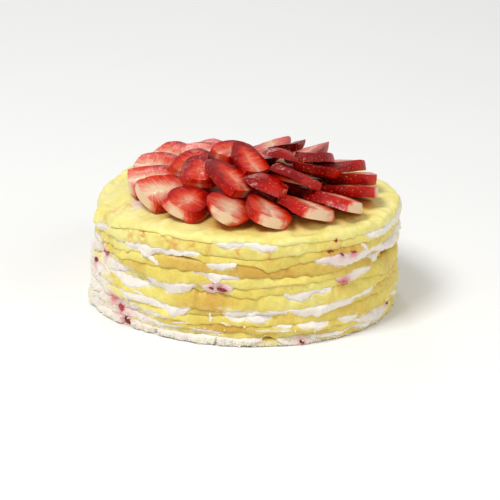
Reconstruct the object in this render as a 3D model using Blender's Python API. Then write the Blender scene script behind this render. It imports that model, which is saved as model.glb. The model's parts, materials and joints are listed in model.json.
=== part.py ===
"""A round crepe cake: crepes and whipped cream in layers, under a rosette of strawberry slices.

Every crepe and every layer of cream is one disc that runs right through the cake. A crepe lies flat and
sags at its rim, more in some places than in others. Where it sags little, or where the crepe below is
drawn in, the cream between them shows at the side. Each slice of strawberry is cut lengthwise. The slices
lie in rings, one ring over the other, and each slice leans on the one before it.

Metres, +Z up, the origin at the middle of the underside. Azimuths are degrees from the front (-Y)
towards the right (+X).
"""

import math
import random
from functools import partial
from itertools import product

import bmesh
import bpy
from mathutils import Matrix, Vector
from mathutils.bvhtree import BVHTree

MM = 0.001
GAP = 0.37 * MM  # between any two pieces that touch

# The stack
LAYER_PITCH = 7.04 * MM  # from the underside of one crepe to that of the next
CREPE_THICKNESS = 1.5 * MM
FOOT_RADIUS = 109.5 * MM
TOP_RADIUS = 107.5 * MM
DOME_RISE = 2 * MM  # how much higher the top crepe is at its middle than near its rim
SEGMENTS = 36
SHOULDER_RADIUS = 84 * MM  # the stack slumps only outside it
BEND_RADIUS = 100 * MM  # where every crepe turns down to its rim
SAG_AT_BEND = 0.15  # of the sag at the rim
MOST_EXTRA_SAG = 2.1 * MM  # how much further a crepe can sag than the one that it lies on
# Where the stack slumps outwards: azimuth, half width in degrees, and mm at the rim of the top crepe
SLUMPS = ((-92, 42, 13), (135, 30, 5))
SLUMP_AT_BEND = 0.6

# The edge of each crepe, from the bottom one up: how far it sags in mm, the places where it sags more (or
# less, below zero), and the places where it is drawn in under the cream above it. A place is its azimuth
# and its half width in degrees, and how much in mm.
CREPE_EDGES = (
    (0.0, (), ()),
    (
        2.1,
        ((35, 14, 0.8), (-52, 12, -0.6), (140, 20, 0.9)),
        ((0, 60, 3.0), (180, 70, 2.0)),
    ),
    (
        4.8,
        ((-8, 12, 1.8), (38, 10, 2.4), (-46, 10, -1.6), (110, 14, 1.6), (-150, 20, -1.4)),
        ((-48, 14, 4.5), (-100, 12, 3.0), (60, 12, 3.0)),
    ),
    (
        6.2,
        ((0, 14, 2.8), (-38, 10, -2.2), (62, 14, 2.4), (130, 16, -2.0), (-130, 16, 1.6)),
        ((-56, 10, 3.5), (170, 18, 3.5)),
    ),
    (
        6.4,
        ((-45, 14, 1.8), (-15, 7, 1.8), (56, 14, -3.0), (115, 14, 1.8), (-110, 18, -1.8)),
        ((13, 16, 4.5), (-135, 14, 4.0)),
    ),
    (
        6.4,
        ((-15, 12, 3.8), (-42, 14, 2.8), (3, 7, 1.4), (56, 16, -2.0), (155, 18, 2.0), (-90, 14, -1.4)),
        ((100, 12, 4.0),),
    ),
    (
        5.2,
        ((24, 10, -3.0), (0, 9, 1.4), (66, 14, 3.0), (120, 12, -1.6), (-160, 20, 1.8)),
        ((-40, 20, 5.0), (-10, 6, 3.0), (46, 8, 4.5), (140, 14, 4.0)),
    ),
    (
        4.6,
        ((2, 10, 2.4), (22, 12, 1.6), (-28, 16, 1.2), (68, 14, -1.3), (-115, 20, 1.8), (160, 14, -1.4)),
        ((70, 12, 4.5), (-68, 8, 3.5)),
    ),
    (
        4.6,
        ((24, 18, 3.4), (3, 10, 1.0), (78, 10, -2.2), (-75, 10, -1.3), (125, 16, 1.8), (-140, 16, -1.2)),
        ((50, 10, 3.5), (-170, 16, 4.0)),
    ),
    (
        4.2,
        ((12, 7, 3.4), (35, 9, -2.2), (-60, 14, 2.2), (70, 14, 2.0), (-22, 10, -0.8), (140, 20, 1.4)),
        ((-110, 14, 4.0),),
    ),
    (
        5.0,
        ((0, 16, 3.2), (66, 12, 4.0), (34, 10, -0.8), (110, 14, -1.6), (-130, 20, 1.6)),
        ((130, 12, 3.0),),
    ),
    (
        4.0,
        ((-38, 14, -1.8), (2, 7, -1.8), (54, 20, 3.8), (120, 16, 1.4), (-150, 18, -1.4)),
        (),
    ),
)

# Small waves of every edge, round the whole cake
SAG_WAVE = 0.5 * MM
RADIUS_WAVE = 1.1 * MM
WAVE_COUNTS = (3, 5, 8)
WAVE_SEED = 4

# Cream
CREAM_HIDDEN_INSET = 3 * MM  # how far inside the crepes it ends where they close over it
CREAM_PROUD = 0.6 * MM  # how far it stands out where it shows
CREAM_SWELL = 0.35  # how much further, for each mm that the crepe below it is drawn in
CREAM_HIDDEN_BELOW = 1.4 * MM  # the height of the gap at the rim that it doesn't reach
CREAM_SHOWN_ABOVE = 3.2 * MM
CREAM_SHOULDER = 1.7 * MM
CREAM_LEAST = 0.2 * MM  # its height at the shoulder

# Strawberry slices
ROSETTE_CENTRE = Vector((4 * MM, -7 * MM, 0))
SLICE_LENGTH = 43 * MM
SLICE_WIDTH = 32 * MM
SLICE_THICKNESS = 7.4 * MM
CUT_WIDTH = 28 * MM  # the flat end, where the leaves were cut off
WIDEST_AT = 0.25  # share of the length, from the flat end
SIDE_POINTS = 7
SMALLER_FACE = 0.9  # the face nearer the berry's skin, beside the face nearer its middle
SIZE_SPREAD = 0.05
SLICE_SEED = 11

# Rings of slices, in the order they are laid: name, count, azimuth of the first one and from each to the
# next, radius of their middles, size beside the outer ring's, tilt of each one over its neighbour, lift of
# its outer side, and how far its tip swings round from pointing inwards: usually, and how much more so
# towards the front. The outer and middle rings start and end at the back, where they leave a gap.
RINGS = (
    ("outer", 15, 206, 23, 65 * MM, 1.0, 20, 0, -8, 0),
    ("lower", 6, 170, 60, 26 * MM, 0.85, 8, 0, -75, 0),
    ("middle", 10, 195, 34, 41 * MM, 0.86, 17, 4, -60, -15),
    ("inner", 4, 150, 90, 14 * MM, 0.75, 10, 3, -70, 0),
)
PLACE_SPREAD = 1.2 * MM
ANGLE_SPREAD = 3.0
DROP_HEIGHT = 300 * MM  # a slice settles from here
MORE_TILTS = (-9, -6, -3, 0, 3, 6, 9, 12)  # of these and these lifts, a slice takes the lowest lie
MORE_LIFTS = (-8, -4, 0, 4, 8)
EDGE_STEPS = 5  # points along each edge that feel for what lies below or above

CREPE_COLOUR = (0.84, 0.66, 0.26, 1)
CREAM_COLOUR = (0.86, 0.80, 0.77, 1)
BERRY_COLOUR = (0.55, 0.03, 0.02, 1)


def clear_scene():
    for item in list(bpy.data.objects):
        bpy.data.objects.remove(item)


def material(name, colour, roughness):
    made = bpy.data.materials.new(name)
    made.use_nodes = True
    shader = made.node_tree.nodes["Principled BSDF"]
    shader.inputs["Base Color"].default_value = colour
    shader.inputs["Roughness"].default_value = roughness
    shader.inputs["Metallic"].default_value = 0
    return made


def outward(azimuth):
    """The level direction of an azimuth."""
    turn = math.radians(azimuth)
    return Vector((math.sin(turn), -math.cos(turn), 0))


def smooth_step(low, high, value):
    share = min(max((value - low) / (high - low), 0), 1)
    return share * share * (3 - 2 * share)


def at_places(places, azimuth):
    """The sum of what each place adds at an azimuth, in metres."""
    total = 0
    for where, half_width, amount in places:
        away = abs((azimuth - where + 180) % 360 - 180)
        total += amount * math.exp(-((away / half_width) ** 2))
    return total * MM


def wave(phases, azimuth):
    turn = math.radians(azimuth)
    return sum(math.sin(n * turn + phase) for n, phase in zip(WAVE_COUNTS, phases)) / len(WAVE_COUNTS)


class Crepe:
    """The shape of one crepe, number 0 at the bottom."""

    def __init__(self, number, below, draw):
        self.name = f"crepe_{number + 1:02d}"
        self.below = below
        self.flat = number * LAYER_PITCH
        share = number / (len(CREPE_EDGES) - 1)
        self.share = share
        self.rise = DOME_RISE * share
        self.outline = FOOT_RADIUS + (TOP_RADIUS - FOOT_RADIUS) * share
        self.usual_sag, self.sag_places, self.drawn_in_places = CREPE_EDGES[number]
        self.sag_phases = [draw.uniform(0, 2 * math.pi) for _ in WAVE_COUNTS]
        self.radius_phases = [draw.uniform(0, 2 * math.pi) for _ in WAVE_COUNTS]

    def sag(self, azimuth):
        """How far the rim would hang below the flat if it weren't drawn in."""
        if self.below is None:
            return 0
        waves = SAG_WAVE * wave(self.sag_phases, azimuth)
        wanted = self.usual_sag * MM + at_places(self.sag_places, azimuth) + waves
        return min(wanted, self.below.sag(azimuth) + MOST_EXTRA_SAG)

    def full_radius(self, azimuth):
        return self.outline + RADIUS_WAVE * wave(self.radius_phases, azimuth)

    def drawn_in(self, azimuth):
        return at_places(self.drawn_in_places, azimuth)

    def underside(self, azimuth):
        """(radius, height) of the underside, from the axis outwards, as if it weren't drawn in."""
        rim, sag = self.full_radius(azimuth), self.sag(azimuth)
        slump = self.share * at_places(SLUMPS, azimuth)
        middle = (0, self.flat + self.rise)
        bend = (BEND_RADIUS, self.flat - SAG_AT_BEND * sag)
        shoulder = (SHOULDER_RADIUS, height_at((middle, bend), SHOULDER_RADIUS))
        return (middle, shoulder, (bend[0], bend[1] - SLUMP_AT_BEND * slump), (rim, self.flat - sag - slump))

    def upper_side(self, azimuth):
        """The same for the upper side, which is a crepe's thickness away, measured square to the slope."""
        under = self.underside(azimuth)
        upper = [(0, under[0][1] + CREPE_THICKNESS)]
        for (r0, z0), (r1, z1) in zip(under, under[1:]):
            upper.append((r1, z1 + CREPE_THICKNESS * math.hypot(1, (z1 - z0) / (r1 - r0))))
        return tuple(upper)

    def section(self, azimuth):
        """(radius, height) round the crepe, from the axis below, out to its rim and back above."""
        under, upper = self.underside(azimuth), self.upper_side(azimuth)
        rim = self.full_radius(azimuth) - self.drawn_in(azimuth)
        edge = ((rim, height_at(under, rim)), (rim, height_at(upper, rim)))
        return (*under[:-1], *edge, *upper[-2::-1])


def height_at(side, radius):
    """The height of a crepe's side at a radius, straight between its points and on past the last one."""
    for (r0, z0), (r1, z1) in zip(side, side[1:]):
        if radius <= r1:
            break
    return z0 + (z1 - z0) * (radius - r0) / (r1 - r0)


def cream_section(below, above, azimuth):
    """(radius, height) round the cream between two crepes, from the axis below to the axis above."""
    floor, roof = below.upper_side(azimuth), above.underside(azimuth)
    rim = min(below.full_radius(azimuth), above.full_radius(azimuth))
    gap = height_at(roof, rim) - height_at(floor, rim)
    shown = smooth_step(CREAM_HIDDEN_BELOW, CREAM_SHOWN_ABOVE, gap)
    swell = CREAM_PROUD + CREAM_SWELL * below.drawn_in(azimuth)
    side = rim - CREAM_HIDDEN_INSET * (1 - shown) + swell * shown
    shoulder = side - CREAM_SHOULDER
    lower, upper = [], []
    for radius in (SHOULDER_RADIUS, BEND_RADIUS, shoulder):
        low, high = height_at(floor, radius) + GAP, height_at(roof, radius) - GAP
        lower.append((radius, low))
        upper.append((radius, max(high, low + CREAM_LEAST)))
    middle = (side, (height_at(floor, side) + height_at(roof, side)) / 2)
    return ((0, floor[0][1] + GAP), *lower, middle, *reversed(upper), (0, roof[0][1] - GAP))


def turned(name, section_at, finish):
    """A closed body round the axis, through its section at each azimuth."""
    azimuths = [360 * step / SEGMENTS for step in range(SEGMENTS)]
    sections = [section_at(azimuth) for azimuth in azimuths]
    shape = bmesh.new()
    bottom = shape.verts.new((0, 0, sections[0][0][1]))
    top = shape.verts.new((0, 0, sections[0][-1][1]))
    rings = []
    for index in range(1, len(sections[0]) - 1):
        ring = []
        for azimuth, section in zip(azimuths, sections):
            radius, height = section[index]
            ring.append(shape.verts.new(outward(azimuth) * radius + Vector((0, 0, height))))
        rings.append(ring)
    for step in range(SEGMENTS):
        after = (step + 1) % SEGMENTS
        shape.faces.new((bottom, rings[0][after], rings[0][step]))
        shape.faces.new((top, rings[-1][step], rings[-1][after]))
        for index, (lower, upper) in enumerate(zip(rings, rings[1:])):
            # The diagonals run the same way on both sides of a layer, so that neighbours stay clear
            if index < (len(rings) - 1) / 2:
                shape.faces.new((lower[step], upper[after], upper[step]))
                shape.faces.new((lower[step], lower[after], upper[after]))
            else:
                shape.faces.new((lower[step], lower[after], upper[step]))
                shape.faces.new((upper[step], lower[after], upper[after]))
    return placed(name, shape, finish)


def placed(name, shape, finish):
    bmesh.ops.recalc_face_normals(shape, faces=shape.faces)
    mesh = bpy.data.meshes.new(name)
    shape.to_mesh(mesh)
    shape.free()
    mesh.materials.append(finish)
    mesh.shade_smooth()
    mesh.set_sharp_from_angle(angle=math.radians(40))
    made = bpy.data.objects.new(name, mesh)
    bpy.context.scene.collection.objects.link(made)
    return made


def berry_half_width(along, width, cut_width):
    """Half the width of a slice, along 0 to 1 from its flat end to its tip."""
    if along < WIDEST_AT:
        narrowing = 1 - (cut_width / width) ** 2
        return width / 2 * math.sqrt(1 - narrowing * ((WIDEST_AT - along) / WIDEST_AT) ** 2)
    towards_tip = (along - WIDEST_AT) / (1 - WIDEST_AT)
    return width / 2 * (1 - towards_tip**2) ** 0.8


def berry_outline(length, width, cut_width):
    """Points round a slice, its flat end on the Y axis and its tip out along +X."""
    steps = [(1 - math.cos(math.pi * index / SIDE_POINTS)) / 2 for index in range(SIDE_POINTS)]
    side = [(length * along, berry_half_width(along, width, cut_width)) for along in steps]
    return [(x, -y) for x, y in side] + [(length, 0)] + [(x, y) for x, y in reversed(side)]


def make_slice(name, size, draw, finish):
    """A slice lying flat, its larger face up or down, the middle of its flat end at the origin."""
    stretch, girth = (size * (1 + draw.uniform(-SIZE_SPREAD, SIZE_SPREAD)) for _ in range(2))
    outline = berry_outline(SLICE_LENGTH * stretch, SLICE_WIDTH * girth, CUT_WIDTH * girth)
    larger_down = draw.random() < 0.5
    shape = bmesh.new()
    base = shape.faces.new([shape.verts.new((x, y, 0)) for x, y in outline])
    raised = bmesh.ops.extrude_face_region(shape, geom=[base])["geom"]
    upper = [item for item in raised if isinstance(item, bmesh.types.BMVert)]
    lower = [vert for vert in shape.verts if vert not in upper]
    bmesh.ops.translate(shape, verts=upper, vec=(0, 0, SLICE_THICKNESS * size))
    middle = Vector((SLICE_LENGTH * stretch / 2, 0, 0))
    smaller = upper if larger_down else lower
    factors = (SMALLER_FACE, SMALLER_FACE, 1)
    bmesh.ops.scale(shape, verts=smaller, vec=factors, space=Matrix.Translation(-middle))
    bmesh.ops.triangulate(shape, faces=shape.faces)
    return placed(name, shape, finish)


def lean(azimuth, tilt, lift, turn):
    """Turns a flat slice pointing along +X inwards, swings it, lifts its outer side and tilts it."""
    away = outward(azimuth)
    along = outward(azimuth + 90)
    facing = math.atan2(-away.y, -away.x) - math.radians(turn)
    tilted = Matrix.Rotation(math.radians(-tilt), 4, away)
    lifted = Matrix.Rotation(math.radians(-lift), 4, along)
    return tilted @ lifted @ Matrix.Rotation(facing, 4, "Z")


def edge_points(vertices, edges):
    made = []
    for start, end in edges:
        line = (vertices[start], vertices[end])
        made.extend(line[0].lerp(line[1], step / EDGE_STEPS) for step in range(EDGE_STEPS + 1))
    return made


def clearance(points, direction, vertices, triangles):
    """The shortest way from any of the points, straight up or down, to a body."""
    tree = BVHTree.FromPolygons(vertices, triangles)
    hits = (tree.ray_cast(point, direction)[3] for point in points)
    return min((distance for distance in hits if distance is not None), default=math.inf)


def world_mesh(piece):
    vertices = [piece.matrix_world @ vert.co for vert in piece.data.vertices]
    edges = [tuple(edge.vertices) for edge in piece.data.edges]
    return vertices, edges, [tuple(face.vertices) for face in piece.data.polygons]


def cover_each_other(first, second):
    """Whether two bodies' boxes overlap when seen from above."""
    for axis in (0, 1):
        one, other = [v[axis] for v in first], [v[axis] for v in second]
        if max(one) < min(other) or max(other) < min(one):
            return False
    return True


def way_down(vertices, edges, triangles, pile):
    """How far a piece can come down before it touches one of the bodies below it."""
    points = edge_points(vertices, edges)
    drop = math.inf
    for body, body_edges, body_triangles in pile:
        if not cover_each_other(vertices, body):
            continue
        drop = min(drop, clearance(points, Vector((0, 0, -1)), body, body_triangles))
        drop = min(drop, clearance(edge_points(body, body_edges), Vector((0, 0, 1)), vertices, triangles))
    return drop


def settle(piece, ways_to_lie, pile):
    """Lowers a piece onto a pile of bodies, in the way that brings its middle lowest."""
    best, best_height = None, math.inf
    for laid in ways_to_lie:
        piece.matrix_world = laid
        vertices, edges, triangles = world_mesh(piece)
        drop = way_down(vertices, edges, triangles, pile)
        height = sum(vertex.z for vertex in vertices) / len(vertices) - drop
        if height < best_height:
            best, best_height = Matrix.Translation((0, 0, GAP - drop)) @ laid, height
    piece.matrix_world = best
    pile.append(world_mesh(piece))


def make_ring(ring, pile, draw, finish):
    name, count, first, step, radius, size, tilt, lift, turn, turn_at_front = ring
    for number in range(count):
        piece = make_slice(f"slice_{name}_{number + 1:02d}", size, draw, finish)
        azimuth = first + step * number
        uneven = [draw.uniform(-1, 1) for _ in range(3)]
        spot = ROSETTE_CENTRE + outward(azimuth) * (radius + PLACE_SPREAD * uneven[0])
        swing = turn + turn_at_front * math.cos(math.radians(azimuth)) + ANGLE_SPREAD * uneven[1]
        to_middle = Matrix.Translation((-SLICE_LENGTH * size / 2, 0, 0))
        high_up = Matrix.Translation(spot + Vector((0, 0, DROP_HEIGHT)))
        usual_tilt = tilt + ANGLE_SPREAD * uneven[2]
        ways = []
        for more_tilt, more_lift in product(MORE_TILTS, MORE_LIFTS):
            leaning = lean(azimuth, usual_tilt + more_tilt, lift + more_lift, swing)
            ways.append(high_up @ leaning @ to_middle)
        settle(piece, ways, pile)


def make_stack():
    """Makes the crepes and the cream from the bottom up, and returns the top crepe."""
    crepe_finish = material("crepe", CREPE_COLOUR, 0.55)
    cream_finish = material("whipped cream", CREAM_COLOUR, 0.6)
    draw = random.Random(WAVE_SEED)
    below = None
    for number in range(len(CREPE_EDGES)):
        crepe = Crepe(number, below, draw)
        made = turned(crepe.name, crepe.section, crepe_finish)
        if below:
            between = partial(cream_section, below, crepe)
            turned(f"cream_{number:02d}", between, cream_finish)
        below = crepe
    return made


def main():
    clear_scene()
    pile = [world_mesh(make_stack())]
    berry_finish = material("strawberry", BERRY_COLOUR, 0.25)
    draw = random.Random(SLICE_SEED)
    for ring in RINGS:
        make_ring(ring, pile, draw, berry_finish)


main()
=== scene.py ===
import json
import math

import bmesh
import bpy
import numpy as np
from mathutils import Euler, Matrix, Vector
from mathutils.bvhtree import BVHTree

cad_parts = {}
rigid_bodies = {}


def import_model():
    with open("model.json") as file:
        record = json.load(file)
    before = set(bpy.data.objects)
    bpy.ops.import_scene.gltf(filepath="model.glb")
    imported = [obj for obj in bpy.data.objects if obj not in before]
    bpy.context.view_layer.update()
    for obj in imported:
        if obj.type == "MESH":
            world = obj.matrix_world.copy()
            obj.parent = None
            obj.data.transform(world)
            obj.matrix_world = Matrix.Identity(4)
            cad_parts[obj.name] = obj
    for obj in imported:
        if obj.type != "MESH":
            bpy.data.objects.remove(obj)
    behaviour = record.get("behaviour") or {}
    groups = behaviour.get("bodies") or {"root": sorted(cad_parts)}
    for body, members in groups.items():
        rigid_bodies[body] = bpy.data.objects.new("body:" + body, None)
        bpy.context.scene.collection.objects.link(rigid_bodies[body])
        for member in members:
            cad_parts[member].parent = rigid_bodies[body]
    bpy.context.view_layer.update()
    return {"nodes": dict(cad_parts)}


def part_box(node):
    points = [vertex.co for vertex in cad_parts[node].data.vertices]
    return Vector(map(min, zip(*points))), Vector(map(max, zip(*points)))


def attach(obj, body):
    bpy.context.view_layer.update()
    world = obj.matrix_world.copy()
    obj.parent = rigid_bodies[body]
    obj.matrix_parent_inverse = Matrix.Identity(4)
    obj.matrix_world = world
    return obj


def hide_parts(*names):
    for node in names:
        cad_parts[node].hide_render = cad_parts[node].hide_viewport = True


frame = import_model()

# ------------------------------------------------------------
# Crepes
# Thin egg pancakes, fried one by one and stacked with whipped cream between them. Each lies flat and hangs
# down at its rim against the one below, ending in an uneven edge. Their rims come from the frame.
# ------------------------------------------------------------
MM = 0.001
AROUND = 720  # steps round the cake
AZIMUTHS = np.linspace(-180, 180, AROUND + 1)  # degrees from the front (-Y) towards the right (+X)
CREPE_THICKNESS = 1.1 * MM
EDGE_THICKNESS = 0.75  # of the thickness elsewhere
SHOULDER = 5.5 * MM  # the width of the bend from the flat to the rim
KNEE_RADIUS, BEND_RADIUS = 84 * MM, 100 * MM  # where the frame's crepes start to slump, and where they bend
KNEE_SOFTNESS = 0.15  # of the distance between those
SQUARENESS = 2.7  # 2 is an elliptic bend
STEEPEST_LEAN, OUTWARD_LEAN = 1.3, -0.16
TUCK = 1.3 * MM  # how far a crepe reaches up under the edge of the next
HIGHEST_BULGE = 4.5 * MM  # above its own flat
DRAPE_STEPS = 14
CAD_STEPS = 36  # round the frame's crepes
RISE_FROM = 0.85  # of the way out to the bend
# Where a crepe's flat has its rings of points, as shares of the way out to the bend
FLAT_SHARES = (0, 0.5, 0.78, 0.84, 0.88, 0.92, 0.96)
TOP_SHARES = np.linspace(0, 0.97, 30)
# The size of the waves that push the crepes about, and how hard: of all, and of their rims alone
LAYER_WAVE, LAYER_PUSH = 9 * MM, 1.3 * MM
RIM_WAVE, RIM_PUSH = 3.2 * MM, 0.8 * MM
# Of the open part of the top crepe, and of its wrinkles
TOP_WAVE, TOP_PUSH = 24 * MM, 7 * MM
WRINKLE, WRINKLE_PUSH = 6 * MM, 2.6 * MM
OPEN_TOP = (76, 88, 98, 106)  # mm from the axis: where those soft waves start, are full, fade and end
WRINKLED_FROM, HANGING_FROM = (78, 88), (102, 106)  # mm from the axis: where these start and are full
WRINKLED = ((62, 16), (-68, 14))  # azimuths and half widths of the wrinkled parts of the top crepe
FOOT_DRAWN_IN = 2.6 * MM  # of the bottom crepe, under the cream that covers its edge
# Where the lowest layers are pushed out at the side: azimuth, half width, mm
PUSHED_OUT = ((-73, 11, 3.6), (-50, 12, 0.8), (150, 14, 1.5))
PUSHED_LAYERS = 4
UPPER_DRAWN_IN = ((-84, 18, 2.2),)  # where the stack is narrower towards its top
RAGGED, FINELY_RAGGED = 0.35, 0.22  # mm, of the edges, in long and in short waves
RIM_UNEVEN = 0.4  # mm
CREAM_RAGGED, CREAM_FINELY_RAGGED = 0.4, 0.12  # mm, of the cream that shows, in long and in short waves
FOLD_DEPTH = 0.28 * MM
MORE_GOLDEN = 0.8  # of the amounts listed
CREPE_SEED = 21

# Each crepe from the bottom one up: how golden it is, the places where its edge hangs lower (azimuth, half
# width in degrees, mm), where it is drawn in, where it is more golden (azimuth, half width, amount), and
# where its browned, bubbled side shows
CREPES = (
    (0.3, (), (), ((8, 8, 0.4), (50, 14, 0.4)), ()),
    (0.35, ((9, 2, -2),), ((-45, 16, 1), (9, 1.8, -1.2), (-20, 14, 0.6)), ((9, 3, 0.5), (30, 6, 0.5)), ()),
    (0.5, ((-40, 10, -0.6),), ((-42, 12, 0.8),), ((-6, 10, 0.45), (30, 16, 0.3)), ()),
    (0.35, ((-18, 4, 0.8),), (), ((-15, 6, 0.5), (16, 6, 0.3), (50, 16, 0.35)), ((15, 3, 0.4),)),
    (
        0.4,
        ((-10, 4, -1.2), (5, 8, 2)),
        ((-24, 5, 1.5),),
        ((-14, 5, 0.6), (-40, 6, 0.5), (50, 18, 0.35)),
        ((-7, 2.2, 0.8),),
    ),
    (0.45, ((-6, 4, 1.5), (-26, 6, 2.6), (22, 22, 3.4)), (), ((-10, 14, 0.3), (-58, 5, 0.4)), ()),
    (0.3, ((-44, 7, 2.8), (-3, 4, 1), (19, 9, 2.4)), ((45, 9, 1),), ((65, 14, 0.35), (-45, 10, 0.2)), ()),
    (
        0.4,
        ((46, 7, -2.2), (-10, 4, -0.8), (-30, 9, 2.6)),
        ((-54, 4, 1.5),),
        ((-45, 10, 0.6), (66, 14, 0.45), (8, 6, 0.1)),
        (),
    ),
    (0.85, ((56, 6, 1),), ((60, 6, 1),), ((-44, 12, -0.5), (5, 10, 0.2), (30, 8, 0.15)), ()),
    (0.5, ((9.5, 2.6, 2), (-24, 10, -1.5)), ((-32, 12, 1.4),), ((14, 8, 0.15), (38, 8, 0.2)), ()),
    (
        0.2,
        ((48, 3, -1.2), (-43, 3, -0.6)),
        (),
        ((58, 10, 0.2), (10, 16, 0.1)),
        ((-28, 4.5, 0.8), (-20, 1.5, 1), (-13.5, 1.3, 0.8), (-3, 1.3, 1), (9, 1.2, 1), (-47, 2.5, 0.9))
        + ((-41, 2.2, 0.9), (17, 3, 0.35), (37, 5, 0.4)),
    ),
    (
        0,
        ((-74, 3.5, 3.6), (53, 5, -0.6)),
        ((-76, 2.4, -5),),
        ((-60, 16, 0.12),),
        ((-67, 3, 0.7), (-40, 9, 0.15)),
    ),
)
TOP_CREPE = len(CREPES) - 1

# Each layer of cream from the bottom one up: the stretches where it shows at the side, from one azimuth to
# another, and how far down from the edge of the crepe above it, in mm
CREAM_SHOWN = (
    ((-112, 8, 8.4), (-40, 9, 8.4), (12, 30, 6.4), (27, 46, 3), (44, 66, 4), (95, 150, 5), (-170, -125, 5)),
    ((-110, -18, 6), (-26, -5, 2.2), (43, 72, 5.5), (110, 135, 4), (-160, -130, 4)),
    ((-105, -22, 4.8), (9, 19, 2.2), (19, 33, 4), (36, 48, 4.2), (66, 110, 3), (150, 185, 4))
    + ((-150, -100, 4),),
    ((-7.5, 1, 2.4), (0, 11.5, 5.2), (-115, -50, 5.5), (100, 130, 3.5), (-180, -140, 4)),
    ((-54, -31, 5), (-35, -19, 7), (-8, 8, 4), (3, 47, 8), (44, 56, 2.8), (-115, -58, 6.5), (140, 170, 6)),
    ((-62, -30, 5.4), (-115, -56, 7), (-34, -24, 6), (13.5, 27.5, 5.6), (25, 35, 2.8), (85, 130, 6))
    + ((-150, -100, 6),),
    ((-75, -46, 5.5), (-42, -17, 10), (-17, -3.5, 7.6), (35.5, 55, 8.6), (150, 185, 6), (-140, -95, 5)),
    ((-21, 1, 2.8), (-14, -8, 7.5), (52, 63, 3.6), (-95, -63, 8), (100, 140, 5), (-180, -150, 5)),
    ((-15.5, -2.5, 4.5), (25, 62, 8.6), (48, 105, 7), (-85, -68, 4), (140, 175, 6), (-150, -115, 5)),
    ((-58, -50, 2.4), (-52, -36, 4.6), (-45, -34, 7.6), (-38, -15.5, 4.2), (88, 120, 5), (160, 190, 4)),
    ((-13, 4, 3.4), (0, 12.5, 5.6), (12, 25, 1), (47, 95, 6.4), (-90, -60, 4.4), (120, 160, 5))
    + ((-160, -120, 3.5),),
)
# Where the crepes are paler: azimuth, half width, amount
PALER = ((-62, 30, -0.4), (20, 12, -0.1))
# How much of the cream that shows was wiped over the crepe below and above it, how far, and from what depth
WIPED_DOWN_SHARE, WIPED_DOWN_REACH = 0.75, 1.4 * MM
WIPED_UP_SHARE, WIPED_UP_REACH = 0.6, 0.9 * MM
WIPED_IF_SHOWN = 2 * MM
# Where more was wiped over their sides: azimuth, half width in degrees, height, half height in mm, amount
SMEARS = (
    (-74, 22, 20, 20, 0.8),
    (-50, 16, 14, 12, 0.55),
    (-30, 40, 3, 5, 0.6),
    (5, 34, 2, 4, 0.55),
    (-64, 8, 44, 7, 0.5),
    (-39, 6, 56, 3.5, 0.55),
    (-50, 12, 38, 6, 0.4),
    (12, 9, 12, 1.6, 0.6),
    (-8, 14, 27, 2.2, 0.5),
    (14, 16, 43, 5, 0.28),
    (30, 14, 31, 5, 0.3),
    (60, 16, 5, 4, 0.45),
    (66, 12, 56, 6, 0.5),
    (-12, 10, 51, 1.6, 0.5),
    (-64, 7, 79, 3.2, 0.95),
    (-90, 8, 60, 16, 0.4),
)


def linear(code):
    """An sRGB hex colour as linear RGBA."""
    parts = [int(code[i : i + 2], 16) / 255 for i in (1, 3, 5)]
    return tuple(c / 12.92 if c <= 0.04045 else ((c + 0.055) / 1.055) ** 2.4 for c in parts) + (1,)


def fill_sockets(tree, node, values, links):
    """Sets the values of a node's sockets and links the others to what feeds them."""
    for socket, value in values.items():
        node.inputs[socket].default_value = value
    for socket, source in links.items():
        tree.links.new(source.outputs[0] if hasattr(source, "outputs") else source, node.inputs[socket])


def add_node(tree, kind, values=None, links=None, stops=None, **settings):
    """Adds a shader node with its settings, its sockets' values, what feeds them, and a ramp's stops."""
    node = tree.nodes.new("ShaderNode" + kind)
    for name, value in settings.items():
        setattr(node, name, value)
    fill_sockets(tree, node, values or {}, links or {})
    if stops:
        elements = node.color_ramp.elements
        while len(elements) < len(stops):
            elements.new(0.5)
        for element, (share, code) in zip(elements, stops):
            element.position = share
            element.color = linear(code)
    return node


def new_material(name):
    """A material, its node tree, its Principled shader and the piece's own coordinates."""
    made = bpy.data.materials.new(name)
    made.use_nodes = True
    tree = made.node_tree
    return made, tree, tree.nodes["Principled BSDF"], add_node(tree, "TexCoord").outputs["Object"]


def read(tree, name):
    """The value that a piece's mesh holds under a name."""
    return add_node(tree, "Attribute", attribute_name=name).outputs["Fac"]


def all_round(values):
    """A smooth closed curve round the cake through values at even steps."""
    fine = np.fft.irfft(np.fft.rfft(values), AROUND) * AROUND / len(values)
    return np.append(fine, fine[0])


def waves(draw, slowest, fastest):
    """An uneven closed curve round the cake, of between that many waves, mostly within 2 of zero."""
    count = np.arange(slowest, fastest + 1)
    spectrum = np.zeros(AROUND // 2 + 1, complex)
    spectrum[count] = (draw.normal(size=len(count)) + 1j * draw.normal(size=len(count))) / count**0.7
    curve = np.fft.irfft(spectrum, AROUND)
    return np.append(curve, curve[0]) / curve.std()


def degrees_from(where):
    """How far each azimuth is from one of them, -180 to 180."""
    return (AZIMUTHS - where + 180) % 360 - 180


def at_places(places):
    """The sum round the cake of (azimuth, half width, amount) places."""
    total = 0 * AZIMUTHS
    for where, half, amount in places:
        total = total + amount * np.exp(-((degrees_from(where) / half) ** 2))
    return total


def along_stretches(stretches):
    """The most round the cake of (from, to, amount) stretches, each fading to nothing at its ends."""
    most = 0 * AZIMUTHS
    for start, end, amount in stretches:
        share = np.clip(0.5 + degrees_from((start + end) / 2) / (end - start), 0, 1)
        most = np.maximum(most, amount * np.sin(math.pi * share) ** 0.75)
    return most


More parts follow.
